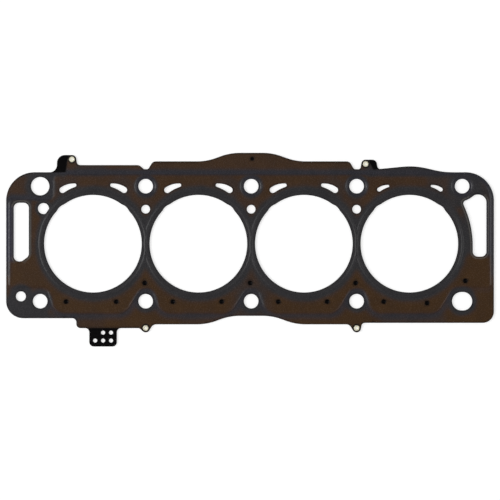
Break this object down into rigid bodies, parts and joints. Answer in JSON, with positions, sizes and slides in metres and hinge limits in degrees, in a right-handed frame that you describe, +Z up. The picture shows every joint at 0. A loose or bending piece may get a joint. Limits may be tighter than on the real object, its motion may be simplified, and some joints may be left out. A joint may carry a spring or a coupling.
{
  "type": "cylinder head gasket",
  "caption": "Multi-layer steel cylinder head gasket for an in-line engine: two embossed layers, a carrier plate and stopper rings, riveted together.",
  "frame": {"origin": "middle of the bolt field, on the plane of the lower layer's bead crests, where the gasket lies on the block", "axes": "+X along the row of bores, +Y across it towards the edge with the ears, +Z up towards the cylinder head"},
  "size_m": [0.43, 0.1707, 0.0021],
  "materials": {
    "brown_elastomer_coated_steel": "satin",
    "black_coated_steel": "satin",
    "bare_spring_steel": "satin",
    "plated_steel": "satin"
  },
  "bodies": {
    "root": {"upper_layer": "brown_elastomer_coated_steel", "lower_layer": "brown_elastomer_coated_steel", "carrier_plate": "black_coated_steel", "stopper_ring_1": "bare_spring_steel", "stopper_ring_2": "bare_spring_steel", "stopper_ring_3": "bare_spring_steel", "stopper_ring_4": "bare_spring_steel", "eyelet_1": "plated_steel", "eyelet_2": "plated_steel", "eyelet_3": "plated_steel", "eyelet_4": "plated_steel"}
  },
  "joints": []
}
